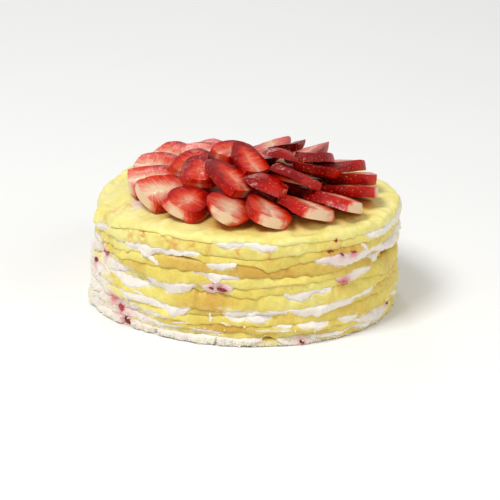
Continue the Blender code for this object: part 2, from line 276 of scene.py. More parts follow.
def points_of(piece):
    """Where a piece's points are, how far each is from the axis, and its azimuth."""
    spots = np.array([vert.co for vert in piece.data.vertices])
    return spots, np.hypot(spots[:, 0], spots[:, 1]), np.degrees(np.arctan2(spots[:, 0], -spots[:, 1]))


def rim_of(node):
    """Round a CAD crepe: its rim's radius and lowest point, and its middle height at bend, knee and axis."""
    spots, radius, azimuth = points_of(frame["nodes"][node])
    step = np.round(azimuth * CAD_STEPS / 360).astype(int) % CAD_STEPS
    on_axis = spots[radius < radius.min() + 1 * MM, 2]
    axis = (on_axis.min() + on_axis.max()) / 2
    rim = []
    for number in range(CAD_STEPS // 2, CAD_STEPS * 3 // 2):
        here = step == number % CAD_STEPS
        outer = radius[here].max()
        edge = spots[here & (radius > outer - 0.1 * MM), 2]
        bend = spots[here & (abs(radius - BEND_RADIUS) < 1 * MM), 2]
        bend = (bend if len(bend) else edge).mean()
        knee = spots[here & (abs(radius - KNEE_RADIUS) < 1 * MM), 2]
        straight = axis + (bend - axis) * KNEE_RADIUS / BEND_RADIUS
        rim.append((outer, edge.min(), bend, knee.mean() if len(knee) else straight))
    return *(all_round(values) for values in np.array(rim).T), axis


def from_polar(radius, height):
    """Points at radii and heights round the cake."""
    turn = np.radians(AZIMUTHS)
    radius, height = np.broadcast_arrays(radius, height)
    return np.stack([radius * np.sin(turn), -radius * np.cos(turn), height], axis=-1)


def mark(piece, name, values):
    """Writes a value for each of a piece's points into its mesh, for its material to read."""
    layer = piece.data.attributes.new(name, "FLOAT", "POINT")
    layer.data.foreach_set("value", values.astype(np.float32))


def rolled(name, points, values=None):
    """A closed smooth piece bent from a flat grid: rows of points round it, all one point at either end."""
    rows, columns = points.shape[:2]
    bpy.ops.object.select_all(action="DESELECT")
    bpy.ops.mesh.primitive_grid_add(x_subdivisions=columns - 1, y_subdivisions=rows - 1, size=1)
    piece = bpy.context.object
    piece.name = piece.data.name = name
    piece.data.vertices.foreach_set("co", points.reshape(-1).astype(np.float32))
    for label, value in (values or {}).items():
        mark(piece, label, np.broadcast_to(value, (rows, columns)).reshape(-1))
    piece.data.update()
    bpy.ops.object.mode_set(mode="EDIT")
    bpy.ops.mesh.select_all(action="SELECT")
    bpy.ops.mesh.remove_doubles(threshold=0.00001)
    bpy.ops.mesh.normals_make_consistent(inside=False)
    bpy.ops.object.mode_set(mode="OBJECT")
    bpy.ops.object.shade_smooth()
    return piece


def displace(piece, pattern, size, strength, group=""):
    """Pushes a piece's surface about by a cloud pattern: each point whichever way, or in and out."""
    clouds = bpy.data.textures.new(f"{piece.name}_{pattern.lower()}", "CLOUDS")
    clouds.noise_scale = size
    clouds.cloud_type = pattern
    unevenness = piece.modifiers.new("unevenness", "DISPLACE")
    unevenness.texture = clouds
    unevenness.texture_coords = "LOCAL"
    unevenness.direction = "RGB_TO_XYZ" if pattern == "COLOR" else "NORMAL"
    unevenness.strength = strength
    unevenness.vertex_group = group
    bpy.ops.object.select_all(action="DESELECT")
    bpy.context.view_layer.objects.active = piece
    bpy.ops.object.modifier_apply(modifier=unevenness.name)


def weigh(piece, name, weights):
    """Gives a piece a vertex group of that name."""
    group = piece.vertex_groups.new(name=name)
    for index in np.flatnonzero(weights > 0.02):
        group.add([int(index)], float(weights[index]), "REPLACE")


def unsettle(piece, number):
    """Pushes a layer about by patterns that its neighbours follow, so that they stay clear of each other."""
    if number > 0:
        displace(piece, "COLOR", LAYER_WAVE, LAYER_PUSH)
    _, radius, azimuth = points_of(piece)
    if number == TOP_CREPE:
        weigh(piece, "open_top", np.interp(radius / MM, OPEN_TOP, (0, 1, 1, 0)))
        displace(piece, "COLOR", TOP_WAVE, TOP_PUSH, "open_top")
        wrinkled = sum(np.exp(-(((azimuth - where) / half) ** 2)) for where, half in WRINKLED)
        weigh(piece, "wrinkled", wrinkled * np.interp(radius / MM, WRINKLED_FROM, (0, 1)))
        displace(piece, "COLOR", WRINKLE, WRINKLE_PUSH, "wrinkled")
    weigh(piece, "hanging", np.interp(radius / MM, HANGING_FROM, (0, 1)))
    displace(piece, "COLOR", RIM_WAVE, RIM_PUSH, "hanging")
    for vert in piece.data.vertices:
        vert.co.z = max(vert.co.z, 0)


def hand_over(piece, material, slot, *nodes):
    """Gives a piece its material and puts it in the place of its CAD nodes."""
    piece.data.materials.clear()
    piece.data.materials.append(material)
    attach(piece, "root")
    if nodes:
        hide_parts(*nodes)


class Drape:
    """The middle surface of one crepe, number 0 at the bottom."""

    def __init__(self, number):
        golden, lower, drawn_in, more_golden, browned = CREPES[number]
        draw = np.random.default_rng(CREPE_SEED + number)
        outer, low, self.bend, self.knee, self.axis = rim_of(f"crepe_{number + 1:02d}")
        self.number = number
        self.half = CREPE_THICKNESS / 2
        raggedness = waves(draw, 6, 30) * RAGGED + waves(draw, 30, 120) * FINELY_RAGGED
        hanging = np.clip((self.bend - low) / (2 * MM), 0, 1)
        self.edge = np.maximum(low + self.half - (at_places(lower) + raggedness) * MM * hanging, self.half)
        self.rim = outer - self.half - (at_places(drawn_in) - waves(draw, 5, 30) * RIM_UNEVEN) * MM
        self.rim += at_places(PUSHED_OUT) * MM * max(0, 1 - number / PUSHED_LAYERS)
        self.rim -= at_places(UPPER_DRAWN_IN) * MM * number / len(CREPES)
        if number == 0:
            self.rim -= FOOT_DRAWN_IN
        self.width = SHOULDER * np.clip(1 + 0.2 * waves(draw, 3, 14), 0.5, 1.6)
        self.folds = waves(draw, 24, 100) * FOLD_DEPTH
        self.gap = 0.1 * MM * (1 + np.abs(waves(draw, 4, 20)))
        golden = golden + MORE_GOLDEN * at_places(more_golden) + at_places(PALER) + 0.08 * waves(draw, 2, 10)
        self.golden = np.clip(golden, 0, 1.2)
        self.browned = np.clip(at_places(browned), 0, 1)
        self.shoulder = self.bend
        self.lean = 0 * AZIMUTHS

    def tuck_under(self, above, cream):
        """Rises under the edge of the crepe above, or to where the cream that shows between them ends."""
        wanted = above.edge - cream + TUCK
        self.shoulder = np.clip(wanted, self.bend, self.bend + HIGHEST_BULGE)
        drop = np.maximum(above.edge - self.edge, 3 * MM)
        needed = self.rim - above.rim + CREPE_THICKNESS + self.gap
        self.lean = np.clip((needed - self.inward(above.edge)) / drop, OUTWARD_LEAN, STEEPEST_LEAN)

    def rise(self, height):
        """The share of the way up from the edge to the shoulder."""
        return np.clip((height - self.edge) / (self.shoulder - self.edge), 0, 1)

    def inward(self, height):
        """How far the bend has come in at a height."""
        return self.width * (1 - (1 - self.rise(height) ** SQUARENESS) ** (1 / SQUARENESS))

    def turn_at(self, height):
        """How far round the bend a height is: 0 at the shoulder, a right angle at the edge."""
        return np.arccos(self.rise(height) ** (SQUARENESS / 2))

    def point(self, turn):
        """The radius and height at a turn of the bend."""
        power = 2 / SQUARENESS
        height = self.edge + (self.shoulder - self.edge) * np.cos(turn) ** power
        radius = self.rim - self.width * (1 - np.sin(turn) ** power) - self.lean * (height - self.edge)
        return radius, height

    def hanging_point(self, turn):
        """The same with the small folds of the rim."""
        radius, height = self.point(turn)
        return radius + self.folds * (turn / (math.pi / 2)) ** 2, height

    def flat_point(self, share):
        """The radius and height at a share of the way from the axis to the bend."""
        start, _ = self.point(0 * AZIMUTHS)
        radius = start * share
        inner = (self.knee - self.axis) / KNEE_RADIUS
        past_knee = (radius - KNEE_RADIUS) / (BEND_RADIUS - KNEE_RADIUS)
        slump = self.bend - self.axis - inner * BEND_RADIUS
        level = self.axis + inner * radius + slump * (past_knee + np.hypot(past_knee, KNEE_SOFTNESS)) / 2
        near = np.clip((share - RISE_FROM) / (1 - RISE_FROM), 0, 1)
        return radius, level + (self.shoulder - level) * near**2 * (3 - 2 * near)

    def middle_line(self, flat_shares):
        """The radii and heights from the axis out to the bend and down to the edge."""
        line = [self.flat_point(share) for share in flat_shares]
        for step in range(DRAPE_STEPS + 1):
            line.append(self.hanging_point(math.pi / 2 * step / DRAPE_STEPS + 0 * AZIMUTHS))
        radii, heights = np.array(line).transpose(1, 0, 2)
        return radii, heights

    def piece(self, name, flat_shares):
        """The crepe, half its thickness to either side of its middle line, with a rounded lip."""
        radii, heights = self.middle_line(flat_shares)
        along_r, along_z = np.gradient(radii, axis=0), np.gradient(heights, axis=0)
        length = np.hypot(along_r, along_z) + 1e-9
        along_r, along_z = along_r / length, along_z / length
        along_r[0], along_z[0] = 0, 0
        half = self.half * np.linspace(1, EDGE_THICKNESS, len(radii))[:, None]
        up_r, up_z = -along_z * half, along_r * half
        up_z[0] = half[0]
        lip = 0.5 * self.half
        all_r = np.concatenate([radii - up_r, [radii[-1] + along_r[-1] * lip], (radii + up_r)[::-1]])
        all_z = np.concatenate([heights - up_z, [heights[-1] + along_z[-1] * lip], (heights + up_z)[::-1]])
        values = {"golden": self.golden, "browned": self.browned, "smeared": self.smeared(all_z)}
        return rolled(name, from_polar(all_r, np.maximum(all_z, 0)), values)

    def smeared(self, heights):
        """How much cream was wiped over it: in the places listed, and beside the cream that shows."""
        most = 0 * heights
        for where, half, level, tall, amount in SMEARS:
            away = (degrees_from(where) / half) ** 2 + ((heights - level * MM) / (tall * MM)) ** 2
            most = np.maximum(most, amount * np.exp(-away))
        if self.number < TOP_CREPE:
            below_cream = drapes[self.number + 1].edge - shown[self.number] - heights
            wiped = WIPED_DOWN_SHARE * np.exp(-np.clip(below_cream, 0, None) / WIPED_DOWN_REACH)
            most = np.maximum(most, wiped * np.clip(shown[self.number] / WIPED_IF_SHOWN, 0, 1))
        if self.number > 0:
            wiped = WIPED_UP_SHARE * np.exp(-np.clip(heights - self.edge, 0, None) / WIPED_UP_REACH)
            most = np.maximum(most, wiped * np.clip(shown[self.number - 1] / WIPED_IF_SHOWN, 0, 1))
        return most


def crepe_material():
    """Egg batter fried in butter: pale yellow, silky, golden where it was thin, brown round its bubbles."""
    made, tree, shader, place = new_material("fried egg crepe")
    cloud = add_node(tree, "TexNoise", {"Scale": 1 / (22 * MM), "Detail": 3}, {"Vector": place})
    middling = {"Scale": 1 / (6 * MM), "Detail": 4, "Distortion": 0.6}
    middling = add_node(tree, "TexNoise", middling, {"Vector": place})
    fine = add_node(tree, "TexNoise", {"Scale": 1 / (1.6 * MM), "Detail": 4}, {"Vector": place})
    tone = read(tree, "golden")
    for pattern, weight in ((cloud, 0.6), (middling, 0.6), (fine, 0.4)):
        tone = add_node(tree, "Math", {1: weight}, {0: pattern, 2: tone}, operation="MULTIPLY_ADD")
    tone = add_node(tree, "Math", {1: 0.78}, {0: tone}, operation="SUBTRACT")
    stops = ((0, "#F2E792"), (0.22, "#ECDC76"), (0.5, "#E2CB5E"), (0.8, "#D9B750"), (1, "#CFA240"))
    egg = add_node(tree, "ValToRGB", {}, {"Fac": tone}, stops)
    # The browned side: rings round the bubbles that burst in the pan
    shift = {1: (4 * MM, 4 * MM, 4 * MM)}
    warped = add_node(tree, "VectorMath", shift, {0: middling.outputs["Color"]}, operation="MULTIPLY")
    warped = add_node(tree, "VectorMath", {}, {0: place, 1: warped}, operation="ADD")
    bubbles = {"Scale": 1 / (6 * MM)}
    bubbles = add_node(tree, "TexVoronoi", bubbles, {"Vector": warped}, feature="DISTANCE_TO_EDGE")
    width = {"From Min": 0.02, "From Max": 0.3, "To Min": 1, "To Max": 0}
    ring = add_node(tree, "MapRange", width, {"Value": bubbles}, interpolation_type="SMOOTHSTEP")
    ring = add_node(tree, "Math", {}, {0: ring, 1: middling}, operation="MULTIPLY")
    ring = add_node(tree, "Math", {1: 1.7}, {0: ring}, operation="MULTIPLY")
    links = {0: ring, 1: read(tree, "browned")}
    ring = add_node(tree, "Math", {}, links, operation="MULTIPLY", use_clamp=True)
    colour = add_node(tree, "Mix", {"B": linear("#DBA24A")}, {"Factor": ring, "A": egg}, data_type="RGBA")
    # Cream wiped over it, in streaks that run round the cake
    streaks = add_node(tree, "VectorMath", {1: (1, 1, 3.5)}, {0: place}, operation="MULTIPLY")
    streaky = {"Scale": 1 / (6 * MM), "Detail": 5, "Roughness": 0.6}
    streaks = add_node(tree, "TexNoise", streaky, {"Vector": streaks})
    veil = add_node(tree, "Math", {1: 1.1, 2: -0.55}, {0: streaks}, operation="MULTIPLY_ADD")
    veil = add_node(tree, "Math", {}, {0: veil, 1: read(tree, "smeared")}, operation="ADD")
    thin = {"From Min": 0.25, "From Max": 0.75, "To Min": 0, "To Max": 0.92}
    veil = add_node(tree, "MapRange", thin, {"Value": veil}, interpolation_type="SMOOTHSTEP")
    links = {"Factor": veil, "A": colour.outputs["Result"]}
    colour = add_node(tree, "Mix", {"B": linear("#EFE6D6")}, links, data_type="RGBA")
    # Pink where juice stained it; on the top crepe under the slices this tint is also painted shade
    stops = ((0, "#FFFFFF"), (0.5, "#F3CDA8"), (1, "#D98474"))
    juicy = add_node(tree, "ValToRGB", {}, {"Fac": read(tree, "juice")}, stops)
    links = {"A": colour.outputs["Result"], "B": juicy}
    colour = add_node(tree, "Mix", {"Factor": 1}, links, data_type="RGBA", blend_type="MULTIPLY")
    pores = add_node(tree, "TexVoronoi", {"Scale": 1 / (1.7 * MM)}, {"Vector": place}, feature="SMOOTH_F1")
    bump = add_node(tree, "Bump", {"Strength": 0.4, "Distance": 0.3 * MM}, {"Height": pores})
    links = {"Height": middling, "Normal": bump}
    bump = add_node(tree, "Bump", {"Strength": 0.6, "Distance": 0.9 * MM}, links)
    silky = {"Roughness": 0.48, "Subsurface Weight": 0.2, "Subsurface Radius": (1, 0.7, 0.3)}
    silky["Subsurface Scale"] = 1.5 * MM
    fill_sockets(tree, shader, silky, {"Base Color": colour.outputs["Result"], "Normal": bump})
    return made


shown = []
for number, stretches in enumerate(CREAM_SHOWN):
    draw = np.random.default_rng(CREPE_SEED * 10 + number)
    bare = along_stretches(stretches)
    ragged = waves(draw, 8, 60) * CREAM_RAGGED + waves(draw, 60, 160) * CREAM_FINELY_RAGGED
    shown.append((bare + ragged * np.clip(bare / 1.5, 0, 1)) * MM)
drapes = [Drape(number) for number in range(len(CREPES))]
for number in range(TOP_CREPE):
    drapes[number].tuck_under(drapes[number + 1], shown[number])
crepe_finish = crepe_material()
for number, drape in enumerate(drapes):
    name = f"crepe_{number + 1:02d}"
    piece = drape.piece(f"fried_{name}", TOP_SHARES if number == TOP_CREPE else FLAT_SHARES)
    unsettle(piece, number)
    hand_over(piece, crepe_finish, "crepe", name)

# ------------------------------------------------------------
# Cream
# Whipped cream spread by hand on each crepe. It shows at the side wherever the crepe above ends early, as
# a lumpy swelling that hangs over the crepe below.
# ------------------------------------------------------------
CREAM_SWELLING = 0.4 * MM  # how far out it stands at least
SWELLING_PER_SHOWN = 0.2
MOST_SWELLING = 2 * MM
FOOT_SWELLING = 0.9 * MM  # of the lowest layer, over the edge of the bottom crepe
LUMP, LUMP_PUSH = 4 * MM, 1.4 * MM  # the size of the lumps in it, and how hard they push
GRAIN, GRAIN_PUSH = 1.3 * MM, 0.5 * MM
FOOT_LAYERS, FOOT_GRAIN_PUSH = 2, 0.75 * MM  # the lowest layers are crumblier
SIDE_STEPS = 12
ROLL_STEPS = 5  # over the rim of the crepe below, and under that of the one above
IN_CREPE = 0.25 * MM  # how far it reaches into the crepe above
DRAWN_BACK = 0.3 * MM  # where the crepes cover it
HIDDEN_DEPTH = 0.6 * MM  # above the edge that hides it
SUNK_UNDER_TOP = 1.2 * MM  # so that the wrinkles of the top crepe stay clear of it
CREAM_SEED = 5


def cream_piece(number):
    """The cream between two crepes, sunk into both."""
    below, above = drapes[number], drapes[number + 1]
    draw = np.random.default_rng(CREAM_SEED + number)
    bare = np.clip(shown[number] / (1 * MM), 0, 1)
    top = above.edge + IN_CREPE
    bottom = np.maximum(above.edge + HIDDEN_DEPTH * (1 - bare) - shown[number], 0.5 * MM)
    line = [below.flat_point(share) for share in FLAT_SHARES]
    for step in range(ROLL_STEPS):
        line.append(below.hanging_point(below.turn_at(bottom) * step / (ROLL_STEPS - 1)))
    low_r = line[-1][0]
    high_r = above.rim + above.folds - DRAWN_BACK
    swelling = np.minimum(CREAM_SWELLING + SWELLING_PER_SHOWN * shown[number], MOST_SWELLING)
    swelling = swelling * bare * (1 + 0.3 * waves(draw, 10, 60)) - DRAWN_BACK * (1 - bare)
    if number == 0:
        swelling = swelling + FOOT_SWELLING * bare
    first_side = len(line)
    for step in range(1, SIDE_STEPS):
        share = step / SIDE_STEPS
        rise = (1 - math.cos(math.pi * share)) / 2
        radius = low_r + (high_r - low_r) * rise + swelling * math.sin(math.pi * share) ** 0.6
        line.append((radius, bottom + (top - bottom) * rise))
    last_side = len(line)
    for step in range(ROLL_STEPS):
        radius, height = above.hanging_point(math.pi / 2 * (1 - step / (ROLL_STEPS - 1)) + 0 * AZIMUTHS)
        line.append((radius - IN_CREPE, height))
    sunk = SUNK_UNDER_TOP if number == len(CREAM_SHOWN) - 1 else 0
    for share in FLAT_SHARES[::-1]:
        radius, height = above.flat_point(share)
        line.append((radius, height - sunk))
    radii, heights = np.array(line).transpose(1, 0, 2)
    side = np.zeros((len(line), 1))
    side[first_side:last_side] = 1
    piece = rolled(f"whipped_cream_{number + 1:02d}", from_polar(radii, heights), {"side": side * bare})
    unsettle(piece, number + 1)
    values = np.zeros(len(piece.data.vertices), np.float32)
    piece.data.attributes["side"].data.foreach_get("value", values)
    weigh(piece, "side", values)
    displace(piece, "GRAYSCALE", LUMP, LUMP_PUSH, "side")
    displace(piece, "GRAYSCALE", GRAIN, FOOT_GRAIN_PUSH if number < FOOT_LAYERS else GRAIN_PUSH, "side")
    return piece


def cream_material():
    """Whipped cream: an off-white matt foam that light passes a little way into, pink beside the fruit."""
    made, tree, shader, place = new_material("whipped cream")
    cloud = add_node(tree, "TexNoise", {"Scale": 1 / (14 * MM), "Detail": 3}, {"Vector": place})
    stops = ((0.3, "#F1EBDE"), (0.5, "#EFE6DA"), (0.7, "#E9DDDA"))
    cream = add_node(tree, "ValToRGB", {}, {"Fac": cloud}, stops)
    stops = ((0, "#FFFFFF"), (0.5, "#F3C3CB"), (1, "#DD8791"))
    juicy = add_node(tree, "ValToRGB", {}, {"Fac": read(tree, "juice")}, stops)
    links = {"A": cream, "B": juicy}
    colour = add_node(tree, "Mix", {"Factor": 1}, links, data_type="RGBA", blend_type="MULTIPLY")
    lumps = add_node(tree, "TexNoise", {"Scale": 1 / (1.5 * MM), "Detail": 5}, {"Vector": place})
    bump = add_node(tree, "Bump", {"Strength": 0.5, "Distance": 0.4 * MM}, {"Height": lumps})
    foamy = {"Roughness": 0.5, "Subsurface Weight": 0.35, "Subsurface Radius": (1, 0.8, 0.7)}
    foamy["Subsurface Scale"] = 1.5 * MM
    fill_sockets(tree, shader, foamy, {"Base Color": colour.outputs["Result"], "Normal": bump})
    return made


cream_finish = cream_material()
for number in range(len(CREAM_SHOWN)):
    hand_over(cream_piece(number), cream_finish, "cream", f"cream_{number + 1:02d}")

# ------------------------------------------------------------
# Strawberry bits
# Chopped strawberries stirred into the cream. Some lie at the side of the cake, half sunk in the cream, and
# stain it pink.
# ------------------------------------------------------------
# Azimuth, height in mm, how far it reaches round, up and out in mm, degrees that it's turned, and how dark
# its red is
BITS = (
    (-12.2, 41.6, 3.4, 2, 2, -30, 1),
    (-8, 40.6, 8, 2.6, 2.6, -6, 0.8),
    (-52.5, 10.6, 8, 4.6, 3, -8, 0.6),
    (-48.5, 3.8, 12, 6.6, 4, -14, 0.9),
    (-57.5, 15.6, 7, 3, 1.6, 0, 0.2),
    (-67, 44, 8, 3.8, 3, 20, 0.5),
    (-77, 31.5, 7, 3.4, 3, 10, 0.9),
    (35.5, 71.8, 2.4, 3.6, 1.4, 0, 0.7),
    (33, 65.2, 5.5, 2.2, 2, -10, 0.8),
    (37.6, 61.9, 3.4, 1.6, 2, -24, 1),
    (43.5, 61.6, 8, 1.6, 2, -8, 0.6),
    (39.5, 40.4, 11, 3.6, 2.6, -18, 0.3),
    (69, 49, 4, 2.4, 2.4, -20, 0.7),
    (69.5, 10.2, 4, 2, 2.4, -10, 1),
    (22, 2.4, 4, 1.8, 2, 0, 0.9),
)
# The bits at the back, which are spread evenly: how many, the azimuths they lie between, and mm they are deep
BACK_BITS, BACK_FROM, BACK_TO, BACK_DEPTH = 12, 95, 265, 2.4
BACK_LENGTHS, BACK_HEIGHTS = (3, 8), (4, 66)  # mm, least and most
BIT_WAVE, BIT_PUSH = 2.2 * MM, 1.6 * MM  # how uneven they are
STAIN_REACH = 2.6 * MM
# The top crepe's tint under the slices is partly juice and partly painted shade, dark red for the gaps
# between them
STAIN_ON_CREPE, JUICE_AND_SHADE_ON_TOP = 0.35, 0.4  # as shares of the stain in cream
ROSETTE_CENTRE = Vector((4, -7, 0)) * MM
ROSETTE_RADIUS = 86 * MM
# The edge of that tint of juice and painted shade on the top crepe:
JUICE_AND_SHADE_UNEVEN, JUICE_AND_SHADE_FADE = 2 * MM, 6 * MM  # of the edge of the juice on the top crepe
BIT_SEED = 8


def side_surface():
    """A tree of the stack's sides, to find how far out they are."""
    vertices, faces = [], []
    for piece in side_pieces:
        start = len(vertices)
        vertices.extend(vert.co.copy() for vert in piece.data.vertices)
        faces.extend([start + index for index in face.vertices] for face in piece.data.polygons)
    return BVHTree.FromPolygons(vertices, faces)


def outward(azimuth):
    """The level direction of an azimuth."""
    turn = math.radians(azimuth)
    return Vector((math.sin(turn), -math.cos(turn), 0))


def on_side(azimuth, height):
    """The spot on the cake's side at an azimuth and a height, and which way it faces."""
    out = outward(azimuth)
    spot, normal, _, _ = sides.ray_cast(out * 200 * MM + Vector((0, 0, height)), -out)
    return spot, normal


def joined(pieces, name):
    """All of the pieces as one."""
    bpy.ops.object.select_all(action="DESELECT")
    for piece in pieces:
        piece.select_set(True)
    bpy.context.view_layer.objects.active = pieces[0]
    bpy.ops.object.join()
    made = bpy.context.object
    made.name = made.data.name = name
    bpy.ops.object.shade_smooth()
    return made


side_pieces = [item for item in bpy.data.objects if item.name.startswith(("fried_crepe", "whipped_cream"))]
sides = side_surface()
bit_draw = np.random.default_rng(BIT_SEED)
bits = list(BITS)
for number in range(BACK_BITS):
    azimuth = BACK_FROM + (BACK_TO - BACK_FROM) * (number + bit_draw.uniform(0.2, 0.8)) / BACK_BITS
    length = bit_draw.uniform(*BACK_LENGTHS)
    height, tall = bit_draw.uniform(*BACK_HEIGHTS), length * bit_draw.uniform(0.35, 0.6)
    turned, dark = bit_draw.uniform(-25, 25), bit_draw.uniform(0.2, 1)
    bits.append((azimuth, height, length, tall, BACK_DEPTH, turned, dark))
stains, chunks = [], []
for azimuth, height, length, tall, deep, turned, dark in bits:
    spot, _ = on_side(azimuth, height * MM)
    stains.append((spot, max(length, tall) * MM, 1 - 0.4 * dark))
    bpy.ops.object.select_all(action="DESELECT")
    bpy.ops.mesh.primitive_ico_sphere_add(subdivisions=4, radius=1)
    chunk = bpy.context.object
    chunk.name = "chopped_bit"
    around = outward(azimuth + 90)
    swing = Matrix.Rotation(math.radians(turned), 4, outward(azimuth))
    axes = Matrix((swing @ around, swing @ Vector((0, 0, 1)), outward(azimuth))).transposed().to_4x4()
    sizes = Matrix.Diagonal((length / 2 * MM, tall / 2 * MM, deep / 2 * MM, 1))
    chunk.data.transform(Matrix.Translation(spot - outward(azimuth) * deep * 0.1 * MM) @ axes @ sizes)
    mark(chunk, "flesh", np.full(len(chunk.data.vertices), 1 - dark))
    displace(chunk, "COLOR", BIT_WAVE, BIT_PUSH)
    chunks.append(chunk)
sunk_bits = joined(chunks, "chopped_strawberry_in_cream")


def bit_material():
    """Ripe strawberry, chopped: crimson where skin shows, rosy and moist where it was cut."""
    made, tree, shader, place = new_material("chopped strawberry")
    cloud = add_node(tree, "TexNoise", {"Scale": 1 / (2.5 * MM), "Detail": 3}, {"Vector": place})
    tone = add_node(tree, "Math", {1: 0.6, 2: -0.3}, {0: cloud}, operation="MULTIPLY_ADD")
    tone = add_node(tree, "Math", {}, {0: tone, 1: read(tree, "flesh")}, operation="ADD")
    stops = ((0, "#5E0716"), (0.3, "#96202E"), (0.6, "#C9606A"), (0.95, "#E6A5A2"))
    colour = add_node(tree, "ValToRGB", {}, {"Fac": tone}, stops)
    moist = {"Roughness": 0.35, "Subsurface Weight": 0.15, "Subsurface Radius": (1, 0.25, 0.15)}
    moist["Subsurface Scale"] = 1 * MM
    fill_sockets(tree, shader, moist, {"Base Color": colour})
    return made


hand_over(sunk_bits, bit_material(), "strawberry")


def stain(piece):
    """Tints a piece with juice near the bits, and the top crepe under the slices with juice and painted
    shade.
    """
    spots, _, azimuth = points_of(piece)
    juice = np.zeros(len(spots))
    for spot, size, strength in stains:
        away = np.linalg.norm(spots - np.array(spot), axis=1)
        juice = np.maximum(juice, strength * np.exp(-np.clip(away - size * 0.35, 0, None) / STAIN_REACH))
    if piece.name.startswith("fried_crepe"):
        juice *= STAIN_ON_CREPE
    # On the top crepe under the slices: partly juice, partly painted shade, dark red where the gaps between
    # them lie in shade
    if piece.name == "fried_crepe_12":
        away = np.hypot(spots[:, 0] - ROSETTE_CENTRE[0], spots[:, 1] - ROSETTE_CENTRE[1])
        reach = np.interp(azimuth, AZIMUTHS, ROSETTE_RADIUS + JUICE_AND_SHADE_UNEVEN * waves(bit_draw, 5, 30))
        juice = np.maximum(juice, JUICE_AND_SHADE_ON_TOP * np.clip((reach - away) / JUICE_AND_SHADE_FADE, 0, 1))
    mark(piece, "juice", juice)


for piece in side_pieces:
    stain(piece)

# ------------------------------------------------------------
# Loose cream and crumbs
# Where the cake was trimmed and handled, cream was drawn over the edges in short strands, and its foot and
# left side are rough with crumbs of cream and crepe that stick to it.
# ------------------------------------------------------------
# Strands of cream: azimuth and height in mm of either end, and width in mm
STRANDS = (
    (-42.5, 60, -33.5, 52.5, 4.4),
    (-14, 50.5, -10.2, 45, 2.2),
    (47.5, 65.5, 51, 60.5, 3.4),
    (-12.3, 23.5, -11.8, 17, 2.4),
    (-8.2, 17.5, -4.5, 15.5, 1.4),
    (4.5, 12.4, 9, 11.6, 1.2),
    (13.5, 11.4, 17, 12.4, 1.4),
    (-57, 45, -54, 39, 2.0),
    (-52, 19, -44, 16.5, 1.6),
    (-67, 52, -65, 40, 3.0),
    (-70, 36, -62, 33, 3.0),
    (-27, 12.5, -20, 14.5, 1.4),
    (-46, 29, -38, 26, 1.6),
    (24, 34.5, 27, 32.5, 1.4),
    (63, 15, 68, 17, 1.6),
)
# Patches of crumbs: from one azimuth to another, from one height to another in mm, and how many
CRUMB_PATCHES = (
    (-88, -40, 0.4, 14, 420),
    (-86, -60, 10, 36, 70),
    (-50, 30, 0.3, 5, 520),
    (28, 46, 0.3, 2.5, 60),
    (-40, -4, 3, 14, 40),
    (0, 46, 7, 16, 24),
    (46, 76, 0.4, 5, 70),
    (76, 272, 0.4, 8, 280),
)
DEGREE_AT_SIDE = 1.9  # mm
STRAND_WAVE, STRAND_PUSH = 1.6 * MM, 1 * MM  # how uneven they are
STRAND_FINENESS = 0.3 * MM  # of their mesh
CRUMB_WAVE, CRUMB_PUSH = 0.9 * MM, 0.7 * MM
CRUMB_SIZE, LARGER_CRUMB = 0.3 * MM, 0.65 * MM
CRUMB_SEED = 14


def scattered(mesh, name):
    """Small loose things as one piece."""
    data = bpy.data.meshes.new(name)
    mesh.to_mesh(data)
    mesh.free()
    data.shade_smooth()
    made = bpy.data.objects.new(name, data)
    bpy.context.scene.collection.objects.link(made)
    return made


crumb_draw = np.random.default_rng(CRUMB_SEED)
lumps = []
for start_azimuth, start_height, end_azimuth, end_height, width in STRANDS:
    length = math.hypot((end_azimuth - start_azimuth) * DEGREE_AT_SIDE, end_height - start_height)
    steps = max(4, round(length / (0.35 * width)))
    for share in np.linspace(0, 1, steps):
        azimuth = start_azimuth + (end_azimuth - start_azimuth) * share + crumb_draw.normal() * 0.15
        height = start_height + (end_height - start_height) * share
        spot, normal = on_side(azimuth, height * MM)
        size = width / 2 * (0.55 + 0.45 * math.sin(math.pi * share)) * crumb_draw.uniform(0.75, 1.2) * MM
        bpy.ops.object.select_all(action="DESELECT")
        bpy.ops.mesh.primitive_ico_sphere_add(subdivisions=2, radius=size)
        lump = bpy.context.object
        lump.data.transform(Matrix.Translation(spot - normal * size * 0.35))
        lumps.append(lump)
strands = joined(lumps, "cream_strands")
fused = strands.modifiers.new("fused", "REMESH")
fused.mode = "VOXEL"
fused.voxel_size = STRAND_FINENESS
bpy.ops.object.modifier_apply(modifier="fused")
displace(strands, "COLOR", STRAND_WAVE, STRAND_PUSH)
bpy.ops.object.shade_smooth()
stain(strands)
hand_over(strands, cream_finish, "cream")

crumb_mesh = bmesh.new()
crust = crumb_mesh.verts.layers.float.new("crust")
for from_azimuth, to_azimuth, from_height, to_height, count in CRUMB_PATCHES:
    for number in range(count):
        azimuth = crumb_draw.uniform(from_azimuth, to_azimuth)
        height = from_height + (to_height - from_height) * crumb_draw.uniform() ** 1.3
        spot, normal = on_side(azimuth, height * MM)
        size = CRUMB_SIZE + LARGER_CRUMB * crumb_draw.uniform() ** 3
        radii = [size * crumb_draw.uniform(0.6, 1.3) for axis in range(3)]
        spot.z = max(spot.z, max(radii))
        turned = Euler(crumb_draw.uniform(0, 3, 3)).to_matrix().to_4x4()
        placed = Matrix.Translation(spot + normal * size * 0.2) @ turned @ Matrix.Diagonal((*radii, 1))
        crumb = bmesh.ops.create_icosphere(crumb_mesh, subdivisions=1, radius=1, matrix=placed)
        dark = crumb_draw.uniform()
        for vert in crumb["verts"]:
            vert[crust] = dark
crumbs = scattered(crumb_mesh, "cream_and_crepe_crumbs")
displace(crumbs, "COLOR", CRUMB_WAVE, CRUMB_PUSH)


